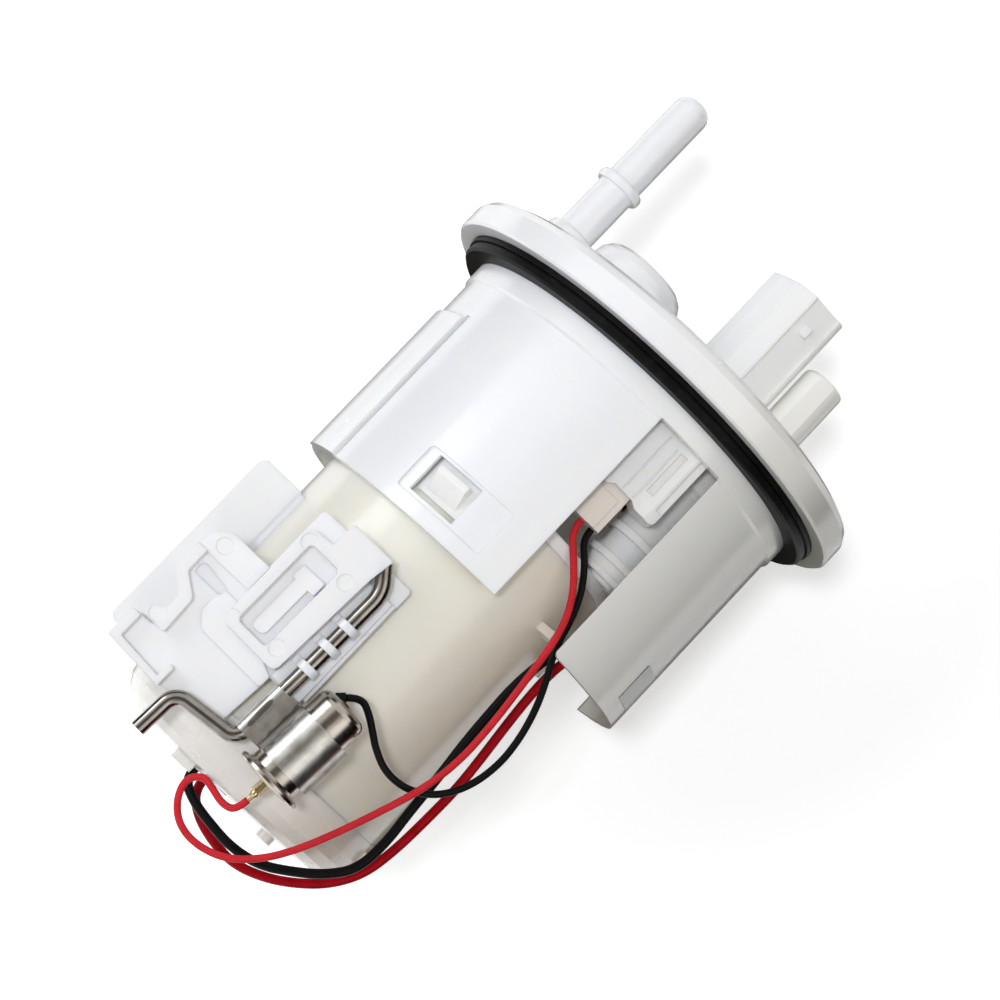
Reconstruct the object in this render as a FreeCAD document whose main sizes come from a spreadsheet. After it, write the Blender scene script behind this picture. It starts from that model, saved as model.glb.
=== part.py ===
import FreeCAD, Part
import Sketcher
import math
import os
import re

# In-tank fuel pump module. Row frame: +Z along the flange axis towards the outlet pipe,
# origin at the centre of the flange's tank face, -Y towards the sensor bracket.
# Millimetres throughout.

doc = FreeCAD.newDocument("fuel_pump")
sheet = doc.addObject("Spreadsheet::Sheet", "sheet")

SIZES = {
    # head moulding
    "rim_overhang": 8.4, "rim_edge": 5.0, "deck_top": 7.5, "plateau_inset": 3.0, "deck_under": 3.0,
    "skirt_radius": 41.0, "skirt_wall": 1.8, "skirt_foot": 52.6,
    "collar_rise": 0.6, "collar_depth": 7.1,
    "gap_left": 5.0, "gap_right": 20.8, "back_gap_left": 25.5, "back_gap_right": 35.2, "back_gap_top": 16.0,
    "gap_corner": 1.2,
    "slit_width": 1.1, "slit_top": 15.0, "slit_angle": 209.6, "strip_rise": 0.7, "strip_span": 27.0,
    "window_width": 11.2, "window_high": 40.0, "window_low": 48.5, "window_recess": 0.5,
    "front_window": 248.0, "right_window": 341.0,
    # outlet
    "outlet_x": -32.0, "outlet_y": -10.0, "spud_radius": 3.945, "spud_bore": 2.1, "spud_top": 50.0,
    "tip_round": 2.8, "bead_radius": 5.15, "bead_height": 26.4, "bead_width": 2.0, "stem_radius": 4.1,
    "cone_radius": 6.6, "cone_top_radius": 5.1, "cone_top": 13.0,
    "socket_radius": 6.6, "socket_foot": 13.0, "valve_bore": 3.5, "valve_chamber_top": 7.0,
    # boss, connector shroud and closed stub on the deck
    "boss_x": -16.2, "boss_y": -12.0, "boss_radius": 10.5, "boss_top": 17.5, "boss_round": 4.0,
    "shroud_top": 36.5, "shroud_floor": 14.0,
    "stub_x": 24.75, "stub_y": -10.0, "stub_radius": 4.6, "stub_top": 26.4, "stub_round": 1.0,
    "block_width": 13.0, "block_depth": 9.0, "block_foot": 9.0, "block_x": 10.5, "block_y": -9.5,
    "plug_foot": 16.0, "pin_size": 0.8, "pin_reach": 3.0,
    # seal
    "seal_gap": 0.1, "seal_width": 4.5, "seal_strip": 0.4, "seal_foot": 3.1, "seal_step": 1.0,
    "seal_land": 0.3,
    # canister
    "can_x": -6.7, "can_y": -6.5, "case_radius": 29.2, "case_wall": 1.8, "case_top": 38.0,
    "case_foot": 101.5, "cap_depth": 11.7, "cap_round": 7.0, "cap_floor": 2.2,
    "lid_thick": 2.6, "lid_radius": 29.6, "lid_spigot": 5.0, "plug_rise": 0.5,
    # filter
    "filter_outer": 26.0, "filter_inner": 18.2, "filter_top": 46.5, "filter_clear": 4.5,
    "filter_ring": 1.5, "pleat_sheet": 1.1, "pleats": 44,
    # pump
    "shell_radius": 16.5, "shell_wall": 1.0, "shell_top": 50.0, "shell_drop": 2.5,
    "cover_top": 44.0, "nozzle_radius": 3.4, "nozzle_bore": 1.9, "nozzle_top": 39.5,
    "magnet_inner": 12.7, "magnet_drop": 11.0, "magnet_rise": 13.0,
    "core_radius": 12.2, "core_inset": 2.0, "slot_width": 2.0, "slot_depth": 5.5,
    "shaft_radius": 1.6, "shaft_top": 48.0, "shaft_clear": 0.8,
    "commutator_radius": 5.4, "commutator_top": 53.0, "commutator_foot": 60.5,
    "brush_gap": 0.25, "brush_width": 4.0, "brush_depth": 5.0,
    "bush_radius": 3.2, "running_gap": 0.05, "bush_length": 4.0,
    "impeller_radius": 12.5, "impeller_thick": 2.4, "impeller_rise": 3.0,
    "housing_height": 10.0, "clearance": 0.3, "inlet_radius": 3.0, "inlet_drop": 6.5,
    # check valve and regulator
    "poppet_radius": 2.7, "poppet_height": 5.0, "seat_bore": 2.0,
    "regulator_x": 17.6, "regulator_y": -20.4, "holder_radius": 5.2, "holder_bore": 4.1,
    "holder_ring": 6.2, "regulator_radius": 3.9, "plunger_radius": 2.2,
    # sensor bracket
    "rod_radius": 1.55, "rod_depth": -42.5, "floor_face": -38.4, "floor_back": -36.2,
    "layer_face": -39.6, "wall_face": -41.2, "box_face": -44.6, "pin_radius": 1.6, "pin_depth": 0.2,
    "channel_face": -40.8, "clip_radius": 2.3, "clip_width": 1.7,
    # level sensor
    "sensor_x": -1.8, "sensor_y": -45.0, "sensor_tilt": 3.4, "can_radius": 5.3, "can_height": 20.2,
    "can_foot": 106.0, "can_sheet": 0.5, "can_round": 1.8, "can_dome": 0.5, "flange_lip": 6.9,
    "flange_thick": 1.2,
    "nut_radius": 1.15, "nut_height": 2.4, "stud_reach": 4.6, "base_sheet": 0.2, "grommet_radius": 1.0,
    "grommet_length": 1.9, "clamp_sheet": 0.45, "clamp_low": 3.5, "clamp_high": 14.0,
    # leads
    "thin_lead": 0.7, "power_lead": 0.95,
}
# Sizes that follow from the ones above.
DERIVED = {
    "skirt_inner": "skirt_radius - skirt_wall", "collar_radius": "skirt_radius + collar_rise",
    "rim_radius": "collar_radius + rim_overhang", "plateau_radius": "rim_radius - plateau_inset",
    "seal_inner": "collar_radius + seal_gap", "seal_radius": "seal_inner + seal_width",
    "seal_body": "seal_radius - seal_strip", "shell_foot": "case_foot + shell_drop",
    "filter_foot": "case_foot - filter_clear", "cap_foot": "case_foot + cap_depth",
    "inlet_foot": "shell_foot + inlet_drop", "impeller_foot": "shell_foot - impeller_rise",
    "impeller_top": "impeller_foot - impeller_thick", "housing_top": "shell_foot - housing_height",
    "shaft_foot": "shell_foot - shaft_clear", "magnet_foot": "shell_foot - magnet_rise",
    "magnet_top": "shell_top + magnet_drop", "core_foot": "magnet_foot - core_inset",
    "core_top": "magnet_top + core_inset",
}
for row, (name, size) in enumerate(SIZES.items(), 1):
    sheet.set("A%d" % row, name)
    sheet.set("B%d" % row, str(size))
    sheet.setAlias("B%d" % row, name)
doc.recompute()


class Sizes:
    """Reads a named value of the sheet, or works it out from the sheet's values."""

    def __getattr__(self, name):
        return number(DERIVED[name]) if name in DERIVED else float(sheet.get(name))


P = Sizes()
NODES = {}
NAME = re.compile(r"[a-z_]{3,}")


def number(text):
    """Value of a sum of products of sheet names and plain numbers."""
    total = 0.0
    for sign, term in re.findall(r"([+-]?)\s*([^+-]+)", str(text)):
        product = 1.0
        for factor in term.split("*"):
            factor = factor.strip()
            product *= getattr(P, factor) if NAME.fullmatch(factor) else float(factor)
        total += -product if sign == "-" else product
    return total


def spelled(match):
    """A size's name as the sheet's cell, or as the sum of cells that it follows from."""
    name = match.group(0)
    return "(%s)" % NAME.sub(spelled, DERIVED[name]) if name in DERIVED else "sheet." + name


def bind(obj, prop, text):
    """Drives a property from the sheet."""
    obj.setExpression(prop, NAME.sub(spelled, str(text)))


def place(obj, x=0, y=0, z=0, turn=None):
    """Placement with its position driven by the sheet; turn is (axis, degrees)."""
    if turn:
        obj.Placement.Rotation = FreeCAD.Rotation(FreeCAD.Vector(*turn[0]), turn[1])
    for axis, text in zip("xyz", (x, y, z)):
        bind(obj, "Placement.Base." + axis, text)
    return obj


def cylinder(radius, height, x=0, y=0, z=0, turn=None):
    part = doc.addObject("Part::Cylinder", "cylinder")
    bind(part, "Radius", radius)
    bind(part, "Height", height)
    return place(part, x, y, z, turn)


def box(x, y, z, dx, dy, dz):
    """Box from its low corner and its three sizes."""
    part = doc.addObject("Part::Box", "box")
    for prop, text in (("Length", dx), ("Width", dy), ("Height", dz)):
        bind(part, prop, text)
    return place(part, x, y, z)


def fuse(*parts):
    if len(parts) == 1:
        return parts[0]
    joined = doc.addObject("Part::MultiFuse", "joined")
    joined.Shapes = list(parts)
    return joined


def cut(base, *tools):
    result = doc.addObject("Part::Cut", "cut_away")
    result.Base = base
    result.Tool = fuse(*tools)
    return result


def turned(part, centre_x, centre_y, degrees):
    """The part turned about a vertical axis."""
    held = doc.addObject("Part::Compound", "turned")
    held.Links = [part]
    spin = FreeCAD.Rotation(FreeCAD.Vector(0, 0, 1), degrees)
    centre = FreeCAD.Vector(centre_x, centre_y, 0)
    held.Placement = FreeCAD.Placement(centre - spin.multVec(centre), spin)
    return held


def solid(name, shape):
    """A shape made by Part functions."""
    part = doc.addObject("Part::Feature", name)
    part.Shape = shape
    return part


def node(name, part):
    """Makes the object a named piece of the product."""
    part.Label = name
    NODES[name] = part
    return part


def lathe(name, corners, x=0, y=0, z=0, turn=None):
    """Body turned about a vertical axis; corners are (radius, height) texts in order."""
    body = doc.addObject("PartDesign::Body", name)
    plane = [f for f in body.Origin.OriginFeatures if f.Role == "XZ_Plane"][0]
    sketch = body.newObject("Sketcher::SketchObject", name + "_outline")
    sketch.AttachmentSupport = [(plane, "")]
    sketch.MapMode = "FlatFace"
    points = [FreeCAD.Vector(number(r), number(h), 0) for r, h in corners]
    for i, point in enumerate(points):
        sketch.addGeometry(Part.LineSegment(point, points[(i + 1) % len(points)]))
    for i in range(len(points)):
        sketch.addConstraint(Sketcher.Constraint("Coincident", i, 2, (i + 1) % len(points), 1))
    for i, (texts, point) in enumerate(zip(corners, points)):
        rules = (("DistanceX", texts[0], point.x, -2), ("DistanceY", texts[1], point.y, -1))
        for rule, text, value, axis in rules:
            if abs(value) < 1e-9:
                sketch.addConstraint(Sketcher.Constraint("PointOnObject", i, 1, axis))
                continue
            index = sketch.addConstraint(Sketcher.Constraint(rule, -1, 1, i, 1, value))
            bind(sketch, "Constraints[%d]" % index, text)
    spin = body.newObject("PartDesign::Revolution", name + "_turn")
    spin.Profile = sketch
    spin.ReferenceAxis = (sketch, ["V_Axis"])
    spin.Angle = 360
    body.Tip = spin
    return place(body, x, y, z, turn)


def ring(name, outer, inner, low, high, x=0, y=0):
    return lathe(name, [(inner, low), (outer, low), (outer, high), (inner, high)], x, y)


def rounded_top(radius, top, corner):
    """Five outline corners that round the upper edge of a turned body."""
    steps = (("1", "0"), ("0.617", "0.076"), ("0.293", "0.293"), ("0.076", "0.617"), ("0", "1"))
    return [("%s - %s*%s" % (radius, corner, inward), "%s - %s*%s" % (top, corner, down))
            for down, inward in steps]


def rounded_outline(corners):
    """Closed wire from (x, z, radius) corners in the XZ plane, each corner rounded by its radius."""
    pieces = []
    count = len(corners)
    at = [FreeCAD.Vector(c[0], 0, c[1]) for c in corners]
    starts, ends = [], []
    for i, (x, z, radius) in enumerate(corners):
        back = (at[i - 1] - at[i]).normalize()
        ahead = (at[(i + 1) % count] - at[i]).normalize()
        half = back.getAngle(ahead) / 2
        reach = radius / math.tan(half) if radius else 0.0
        starts.append(at[i] + back * reach)
        ends.append(at[i] + ahead * reach)
        if radius:
            middle = (back + ahead).normalize()
            centre = at[i] + middle * (radius / math.sin(half))
            pieces.append((i, Part.Arc(starts[i], centre - middle * radius, ends[i]).toShape()))
    edges = []
    arcs = dict(pieces)
    for i in range(count):
        if i in arcs:
            edges.append(arcs[i])
        if (starts[(i + 1) % count] - ends[i]).Length > 1e-6:
            edges.append(Part.LineSegment(ends[i], starts[(i + 1) % count]).toShape())
    return Part.Wire(edges)


def slab(corners, front, back):
    """Plate between two depths (front is the more negative y) with the given XZ outline."""
    face = Part.Face(rounded_outline(corners))
    face.translate(FreeCAD.Vector(0, back, 0))
    return face.extrude(FreeCAD.Vector(0, front - back, 0))


def block(x_low, x_high, y_low, y_high, z_low, z_high):
    return Part.makeBox(x_high - x_low, y_high - y_low, z_high - z_low, FreeCAD.Vector(x_low, y_low, z_low))


def route(points, radii=None):
    """Straight runs joined by tangent arcs, of the given radii or as wide as the runs allow."""
    at = [FreeCAD.Vector(*p) for p in points]
    edges, here = [], at[0]
    for i in range(1, len(at) - 1):
        back, ahead = at[i - 1] - at[i], at[i + 1] - at[i]
        half = back.getAngle(ahead) / 2
        reach = radii[i - 1] / math.tan(half) if radii else 0.45 * min(back.Length, ahead.Length)
        start, end = at[i] + back.normalize() * reach, at[i] + ahead.normalize() * reach
        radius = reach * math.tan(half)
        middle = (back + ahead).normalize()
        centre = at[i] + middle * (radius / math.sin(half))
        edges.append(Part.LineSegment(here, start).toShape())
        edges.append(Part.Arc(start, centre - middle * radius, end).toShape())
        here = end
    edges.append(Part.LineSegment(here, at[-1]).toShape())
    return Part.Wire(edges)


def tube(name, points, radius, radii=None):
    """Solid of round section along the route."""
    wire = route(points, radii)
    first = wire.Edges[0]
    along = first.tangentAt(first.FirstParameter)
    section = Part.Wire(Part.makeCircle(radius, FreeCAD.Vector(*points[0]), along))
    shape = wire.makePipeShell([section], True, True)
    share = shape.Volume / (math.pi * radius ** 2 * wire.Length)
    print(name, "length", round(wire.Length, 1), "volume share", round(share, 3), "radii",
          [round(edge.Curve.Radius, 1) for edge in wire.Edges if hasattr(edge.Curve, "Radius")])
    return shape


# Head moulding: deck, rim, collar and skirt in one turned body, then the openings in the skirt.
head = lathe("head_blank", [
    ("0", "deck_under"), ("skirt_inner", "deck_under"), ("skirt_inner", "-skirt_foot"),
    ("skirt_radius", "-skirt_foot"), ("skirt_radius", "-collar_depth - 0.6"),
    ("collar_radius", "-collar_depth"),
    ("collar_radius", "seal_land"), ("seal_radius + 0.2", "seal_land"), ("seal_radius + 0.2", "0"),
    ("rim_radius - 0.5", "0"), ("rim_radius", "0.5"), ("rim_radius", "rim_edge"),
    ("rim_radius - 0.9", "rim_edge + 1.5"), ("plateau_radius", "deck_top"), ("0", "deck_top")])

# Left leg strip: a raised band on the skirt beside the slit.
strip = lathe("strip_blank", [
    ("skirt_radius - 0.6", "-skirt_foot"), ("skirt_radius + strip_rise", "-skirt_foot"),
    ("skirt_radius + strip_rise", "-slit_top - 1"), ("skirt_radius - 0.6", "-slit_top")])
wedge = doc.addObject("Part::Cylinder", "strip_wedge")
bind(wedge, "Radius", "rim_radius")
bind(wedge, "Height", "skirt_foot + 1")
bind(wedge, "Angle", "strip_span")
wedge.Placement.Rotation = FreeCAD.Rotation(FreeCAD.Vector(0, 0, 1), number("slit_angle - strip_span"))
bind(wedge, "Placement.Base.z", "-skirt_foot - 0.5")
strip_part = doc.addObject("Part::Common", "strip_part")
strip_part.Base, strip_part.Tool = strip, wedge

# Outlet pipe with its quick-connect bead, and the valve socket below the deck.
outlet = lathe("outlet_blank", [
    ("0", "-socket_foot"), ("socket_radius", "-socket_foot"), ("socket_radius", "deck_top"),
    ("cone_radius", "deck_top + 1"), ("cone_top_radius", "cone_top"), ("stem_radius", "cone_top + 0.4"),
    ("stem_radius", "bead_height - bead_width*0.5"), ("bead_radius - 0.3", "bead_height - bead_width*0.5"),
    ("bead_radius", "bead_height - bead_width*0.25"), ("bead_radius", "bead_height + bead_width*0.25"),
    ("bead_radius - 0.3", "bead_height + bead_width*0.5"), ("spud_radius", "bead_height + bead_width*0.5")]
    + rounded_top("spud_radius", "spud_top", "tip_round") + [("0", "spud_top")], "outlet_x", "outlet_y")
boss = lathe("boss_blank", [
    ("0", "deck_under"), ("boss_radius", "deck_under")]
    + rounded_top("boss_radius", "boss_top", "boss_round") + [("0", "boss_top")], "boss_x", "boss_y")
stub = lathe("stub_blank", [
    ("0", "deck_under"), ("stub_radius", "deck_under")]
    + rounded_top("stub_radius", "stub_top", "stub_round") + [("0", "stub_top")], "stub_x", "stub_y")

# Connector shroud: faceted tube seen from above as (x, y) corners.
SHROUD = [(2.2, -7.6), (3.7, -10.2), (7.1, -14.9), (11.2, -16.3), (11.7, -16.3), (11.9, -15.9),
          (17.9, -13.7), (18.2, -14.1), (18.8, -13.8), (19.4, -12.4), (19.4, -5.5), (16.0, -3.0),
          (6.0, -3.0), (2.2, -5.0)]
SHROUD_ROOM = [(3.9, -7.6), (5.0, -10.0), (7.9, -13.6), (11.2, -14.7), (17.4, -12.4), (18.0, -11.6),
               (18.0, -6.0), (15.4, -4.5), (6.4, -4.5), (3.9, -5.6)]


def prism(outline, low, high):
    points = [FreeCAD.Vector(x, y, low) for x, y in outline]
    return Part.Face(Part.makePolygon(points + points[:1])).extrude(FreeCAD.Vector(0, 0, high - low))


shroud = solid("shroud_blank", prism(SHROUD, P.deck_under, P.shroud_top))
shroud_room = solid("shroud_room", prism(SHROUD_ROOM, P.shroud_floor, P.shroud_top + 1))
nub = box(13.5, -15.9, 28.7, 1.9, 1.6, 2.4)
terminal_block = box("block_x - block_width*0.5", "block_y - block_depth*0.5", "-block_foot",
                     "block_width", "block_depth", "block_foot + deck_under")

# Openings in the skirt.
front_gap = box("gap_left", "-rim_radius", "-skirt_foot - 1", "gap_right - gap_left", "rim_radius - 25",
                "skirt_foot - collar_depth + 1")
back_gap = box("back_gap_left", "15", "-skirt_foot - 1", "back_gap_right - back_gap_left",
               "rim_radius - 15", "skirt_foot - back_gap_top + 1")
slit = turned(box("30", "0", "-skirt_foot - 1", "20", "slit_width", "skirt_foot - slit_top + 1"),
              0, 0, P.slit_angle)
corner_room = block(P.gap_right - 1, P.gap_right + P.gap_corner, -40, -30,
                    -P.skirt_foot - 1, -P.skirt_foot + P.gap_corner)
corner = solid("gap_corner_cut", corner_room.cut(Part.makeCylinder(
    P.gap_corner, 12, FreeCAD.Vector(P.gap_right + P.gap_corner, -41, -P.skirt_foot + P.gap_corner),
    FreeCAD.Vector(0, 1, 0))))
WINDOWS = (P.front_window, P.right_window, P.front_window - 180, P.right_window - 180)
windows = []
for angle in WINDOWS:
    hole = box("30", "-window_width*0.5", "-window_low", "20", "window_width", "window_low - window_high")
    windows.append(turned(hole, 0, 0, angle))
recess_room = ring("recess_room", "rim_radius", "skirt_radius - window_recess",
                   "-window_low - 0.9", "-window_high + 0.6")
recess_area = slab([(-22.6, -39.4, 0.8), (-2.4, -39.4, 0.8), (-2.4, -49.4, 0.8), (-22.6, -49.4, 0.8)],
                   -45, -30)
recess = doc.addObject("Part::Common", "window_recess_cut")
recess.Base, recess.Tool = recess_room, solid("recess_area", recess_area)
outlet_bore = cylinder("spud_bore", "spud_top - deck_under", "outlet_x", "outlet_y", "deck_under + 1")
valve_room = cylinder("valve_bore", "valve_chamber_top + socket_foot + 1", "outlet_x", "outlet_y",
                      "-socket_foot - 1")
flat = box("stub_x - 5", "stub_y - stub_radius - 1", "deck_top + 0.5", "10", "1.35", "stub_top")

head_moulding = node("head_moulding", cut(
    fuse(cut(fuse(head, strip_part), front_gap, back_gap, slit, recess, *windows),
         outlet, boss, stub, shroud, nub, terminal_block),
    outlet_bore, valve_room, flat, shroud_room, corner))

# Connector terminals: four blades through the shroud floor into the terminal block.
blades = []
for column in (-1, 1):
    for line in (-1, 1):
        blades.append(box("block_x - pin_size*0.5 + %g" % (3.0 * column),
                          "block_y - pin_size*0.5 + %g" % (2.2 * line), "-block_foot - pin_reach",
                          "pin_size", "pin_size", "shroud_floor + block_foot + 14"))
terminals = node("connector_terminals", doc.addObject("Part::Compound", "terminals"))
terminals.Links = blades
node("head_moulding", cut(head_moulding, terminals))

# Power plug on the blades under the deck.
head_plug = box("block_x - 5", "block_y - block_depth*0.5 + 0.4", "-plug_foot", "10", "block_depth - 0.8",
                "plug_foot - block_foot")
node("head_plug", cut(head_plug, terminals))

# Seal ring: flat ring under the rim with a wider strip against the tank face.
node("seal_ring", lathe("seal_ring", [
    ("seal_inner", "-seal_foot"), ("seal_body - 0.6", "-seal_foot"), ("seal_body", "-seal_foot + 0.5"),
    ("seal_body", "-seal_step - 0.3"), ("seal_body - 0.3", "-seal_step - 0.2"),
    ("seal_body - 0.3", "-seal_step"), ("seal_radius", "-seal_step"), ("seal_radius", "seal_land"),
    ("seal_inner", "seal_land")]))

# Outlet check valve in the socket below the outlet pipe.
node("valve_seat", lathe("valve_seat", [
    ("seat_bore", "-socket_foot"), ("valve_bore", "-socket_foot"), ("valve_bore", "-socket_foot + 4"),
    ("seat_bore + 0.4", "-socket_foot + 4"), ("seat_bore", "-socket_foot + 3.2")], "outlet_x", "outlet_y"))
node("check_valve_poppet", lathe("check_valve_poppet", [
    ("0", "-socket_foot + 3.2"), ("1.2", "-socket_foot + 3.3"), ("poppet_radius", "-socket_foot + 4.3"),
    ("poppet_radius", "-socket_foot + 4.3 + poppet_height*0.4"),
    ("1.1", "-socket_foot + 4.3 + poppet_height*0.4"),
    ("1.1", "-socket_foot + 4.3 + poppet_height*1.3"), ("0", "-socket_foot + 4.3 + poppet_height*1.3")],
    "outlet_x", "outlet_y"))


def spring(name, x, y, low, high, radius, wire, turns):
    """Coil spring as a swept ring section."""
    pitch = (high - low - 2 * wire) / turns
    helix = Part.makeHelix(pitch, pitch * turns, radius)
    helix.translate(FreeCAD.Vector(x, y, low + wire))
    start = helix.Edges[0].Vertexes[0].Point
    section = Part.Wire(Part.makeCircle(wire, start, FreeCAD.Vector(0, 1, pitch / (2 * math.pi * radius))))
    return node(name, solid(name, helix.makePipeShell([section], True, True)))


valve_spring_foot = -P.socket_foot + 4.3 + P.poppet_height * 0.4
spring("check_valve_spring", P.outlet_x, P.outlet_y, valve_spring_foot, P.valve_chamber_top, 2.1, 0.3, 6)

# Pressure regulator in its holder at the right of the canister.
node("regulator_holder", lathe("regulator_holder", [
    ("holder_bore", "-12"), ("holder_bore", "deck_under"), ("holder_radius + 1", "deck_under"),
    ("holder_radius + 1", "-10"), ("holder_radius", "-10.6"), ("holder_radius", "-24"),
    ("holder_ring", "-24"), ("holder_ring", "-25.6"), ("holder_radius - 0.4", "-25.6"),
    ("holder_radius - 0.4", "-30"), ("holder_ring", "-30"), ("holder_ring", "-31.4"),
    ("holder_radius - 0.2", "-31.4"), ("holder_radius - 0.2", "-33.4"), ("holder_ring - 0.2", "-33.4"),
    ("holder_ring - 0.2", "-34.6"), ("3.6", "-34.6"), ("3.6", "-case_top + lid_thick"),
    ("1.5", "-case_top + lid_thick"), ("1.5", "-30"), ("holder_bore", "-30")],
    "regulator_x", "regulator_y"))
node("regulator_body", lathe("regulator_body", [
    ("1.4", "-30"), ("regulator_radius", "-30"), ("regulator_radius", "-12.5"), ("1.6", "-12.5"),
    ("1.6", "-13.1"), ("regulator_radius - 0.6", "-13.1"), ("regulator_radius - 0.6", "-29.2"),
    ("1.4", "-29.2")],
    "regulator_x", "regulator_y"))
node("regulator_valve", lathe("regulator_valve", [
    ("0", "-29.2"), ("plunger_radius", "-29.2"), ("plunger_radius", "-25.4"), ("1", "-25.4"), ("1", "-21"),
    ("0", "-21")], "regulator_x", "regulator_y"))
spring("regulator_spring", P.regulator_x, P.regulator_y, -25.4, -13.1, 1.75, 0.3, 8)

# Sensor socket under the deck: a box with the plug's room, a shallow latch slot and two moulded ridges.
SOCKET = [(1.6, 3.0, 0), (17.8, 3.0, 0), (17.8, -22.5, 1.2), (13.0, -22.4, 0.5), (11.6, -21.5, 0.5),
          (7.2, -21.3, 0.5), (5.8, -22.3, 0.4), (1.6, -22.3, 0)]
socket_shape = slab(SOCKET, -36, -27.6).fuse([block(8.7, 9.0, -36.3, -35.5, -21.0, -7.7),
                                              block(11.3, 11.6, -36.3, -35.5, -21.0, -8.7)])
plug_room = block(3.0, 11.6, -34.9, -28.5, -23, -8)
latch_slot = block(12.4, 14.0, -37, -34.8, -18.2, -8.5)
side_relief = block(16.2, 19.0, -37, -34.2, -19.6, -7)
skirt_room = Part.makeCylinder(P.skirt_inner, 40, FreeCAD.Vector(0, 0, -30))
socket_shape = socket_shape.cut(plug_room).cut(latch_slot).cut(side_relief).common(skirt_room)
node("sensor_socket", solid("sensor_socket", socket_shape))
plug_shape = block(3.3, 11.3, -34.6, -28.8, -30.2, -10).fuse(block(4.6, 10.0, -35.1, -34.6, -30.2, -23.2))
plug_shape = plug_shape.cut(block(3.0, 3.9, -35, -28, -29.2, -27.4))
node("sensor_plug", solid("sensor_plug", plug_shape.removeSplitter()))

# Canister: translucent case, lid with four latch arms, and the rounded bottom cap with pegs.
case = lathe("case_blank", [
    ("case_radius - case_wall", "-case_foot"), ("case_radius", "-case_foot"), ("case_radius", "-case_top"),
    ("case_radius - case_wall", "-case_top")], "can_x", "can_y")
lug = turned(box("can_x + case_radius - 1", "can_y - 3.5", "-case_top - 12.4", "4.6", "7", "1.8"),
             P.can_x, P.can_y, -34)
node("canister_case", fuse(case, lug))

lid_plate = ring("lid_plate", "lid_radius", "nozzle_radius + 0.2", "-case_top", "-case_top + lid_thick",
                 "can_x", "can_y")
lid_spigot = ring("lid_spigot", "case_radius - case_wall", "case_radius - case_wall - 1.6",
                  "-case_top - lid_spigot", "-case_top", "can_x", "can_y")
lid_port = ring("lid_port", "4.6", "2.5", "-case_top + lid_thick", "-case_top + lid_thick + 5", -27.0, -9.4)
arms = []
for angle in WINDOWS:
    spin = FreeCAD.Rotation(FreeCAD.Vector(0, 0, 1), angle)
    reach = block(14.0, 38.6, -4.2, 4.2, -P.case_top, -P.case_top + 1.8)
    leg = block(36.8, 38.6, -5.2, 5.2, -P.window_low + 1.2, -P.case_top)
    hook_face = Part.Face(Part.makePolygon([FreeCAD.Vector(*c) for c in (
        (38.2, -3.7, -41.2), (40.9, -3.7, -41.2), (40.9, -3.7, -42.6), (38.2, -3.7, -46.8),
        (38.2, -3.7, -41.2))]))
    arm = reach.fuse([leg, hook_face.extrude(FreeCAD.Vector(0, 7.4, 0))])
    arm.Placement = FreeCAD.Placement(FreeCAD.Vector(), spin)
    arms.append(arm)
case_room = Part.makeCylinder(P.case_radius + 0.3, 60, FreeCAD.Vector(P.can_x, P.can_y, -P.case_top - 60))
arms = [arm.cut(case_room) for arm in arms]
lid_arms = solid("lid_arms", arms[0].fuse(arms[1:]))
port_bore = cylinder("2.5", "12", -27.0, -9.4, "-case_top - 2")
nozzle_room = cylinder("nozzle_radius + 0.2", "12", "can_x", "can_y", "-case_top - 4")
node("canister_lid", cut(fuse(lid_plate, lid_spigot, lid_port, lid_arms), port_bore, nozzle_room))

cap = lathe("cap_blank", [
    ("inlet_radius + 3", "-cap_foot"), ("case_radius - cap_round", "-cap_foot"),
    ("case_radius - cap_round*0.617", "-cap_foot + cap_round*0.076"),
    ("case_radius - cap_round*0.293", "-cap_foot + cap_round*0.293"),
    ("case_radius - cap_round*0.076", "-cap_foot + cap_round*0.617"),
    ("case_radius", "-cap_foot + cap_round"), ("case_radius", "-case_foot"),
    ("case_radius - case_wall", "-case_foot"), ("case_radius - case_wall", "-case_foot + 3"),
    ("case_radius - case_wall - 1.6", "-case_foot + 3"),
    ("case_radius - case_wall - 1.6", "-cap_foot + cap_round"),
    ("case_radius - cap_round - 1", "-cap_foot + cap_floor"),
    ("inlet_radius + 3", "-cap_foot + cap_floor")],
    "can_x", "can_y")
pegs = [cylinder("1.7", "cap_floor + 1.9", x, y, "-cap_foot - 1.8")
        for x, y in ((5.4, -19.0), (-7.0, 15.0))]
pegs.append(box("-18.1", "-26.4", "-cap_foot - 1.8", "4.7", "2", "cap_floor + 1"))
side_peg = turned(box("can_x + case_radius - 3", "can_y - 1.6", "-case_foot - 5.1", "4.6", "3.2", "3.2"),
                  P.can_x, P.can_y, -12)
node("canister_cap", fuse(cap, *pegs, side_peg))

# Inlet screen in the cap's centre hole, and the two-way power plug pressed on the cap.
node("inlet_screen", ring("inlet_screen", "inlet_radius + 3", "0.8", "-cap_foot + 0.4", "-cap_foot + 1.4",
                          "can_x", "can_y"))
node("power_plug", box("-15", "-24.3", "-cap_foot - plug_rise", "6.4", "6.2", "plug_rise"))


def star(outer, inner, count, low, high):
    """Prism with a zigzag outline about the canister's axis."""
    points = []
    for i in range(2 * count):
        radius = outer if i % 2 == 0 else inner
        angle = math.pi * i / count
        points.append(FreeCAD.Vector(P.can_x + radius * math.cos(angle),
                                     P.can_y + radius * math.sin(angle), low))
    return Part.Face(Part.makePolygon(points + points[:1])).extrude(FreeCAD.Vector(0, 0, high - low))


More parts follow.
